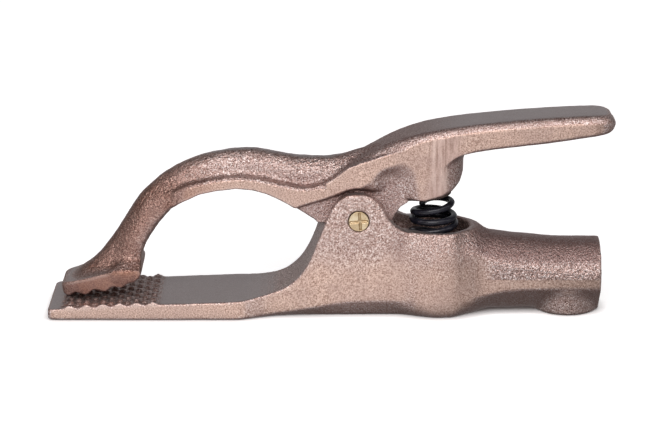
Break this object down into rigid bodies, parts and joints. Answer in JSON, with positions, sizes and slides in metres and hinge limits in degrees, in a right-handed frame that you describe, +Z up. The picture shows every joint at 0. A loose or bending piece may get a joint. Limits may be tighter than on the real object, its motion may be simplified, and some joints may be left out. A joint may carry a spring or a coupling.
{
  "type": "ground clamp",
  "caption": "Welding ground clamp: cast bronze jaw plate and sprung lever on a brass pivot pin, waffle teeth, cable barrel with a ball-point set screw.",
  "frame": {"origin": "bottom centre of the closed clamp: middle of its length and width, on the plane it rests on", "axes": "+X runs from the jaw nose to the cable barrel and handle, +Y is across the clamp along the pivot pin, +Z is up"},
  "size_m": [0.2042, 0.034, 0.0737],
  "materials": {
    "cast_bronze": "sand-cast copper bronze, fine speckled grain, ground parting faces",
    "pin_brass": "bright turned brass, staked end",
    "spring_black": "glossy black coating on spring steel",
    "fibre": "vulcanised fibre insulator",
    "screw_black": "black oxide",
    "ball_steel": "hardened ball"
  },
  "bodies": {
    "lower_jaw": {"lower_jaw_casting": "cast_bronze", "pivot_pin": "pin_brass", "lower_spring_seat": "fibre", "return_spring": "spring_black"},
    "jaw_lever": {"upper_jaw_lever": "cast_bronze", "upper_spring_seat": "fibre"},
    "screw_point": {"set_screw_ball": "ball_steel"},
    "set_screw": {"cable_set_screw": "screw_black"}
  },
  "joints": [
    {"name": "lever_pivot", "type": "hinge", "parent": "lower_jaw", "child": "jaw_lever", "pos_m": [0.0101, 0, 0.0358], "axis": [0, 1, 0], "range_deg": [0, 22], "deforming": ["return_spring"]},
    {"name": "set_screw_advance", "type": "slide", "parent": "lower_jaw", "child": "screw_point", "axis": [0, 0, 1], "range_m": [-0.006, 0.004]},
    {"name": "set_screw_turn", "type": "hinge", "parent": "screw_point", "child": "set_screw", "pos_m": [0.086, 0, 0.004], "axis": [0, 0, 1], "range_deg": [-1080, 720]}
  ],
  "couplings": [
    {"joint": "set_screw_advance", "follows": "set_screw_turn", "m_per_rad": 0.000311}
  ]
}
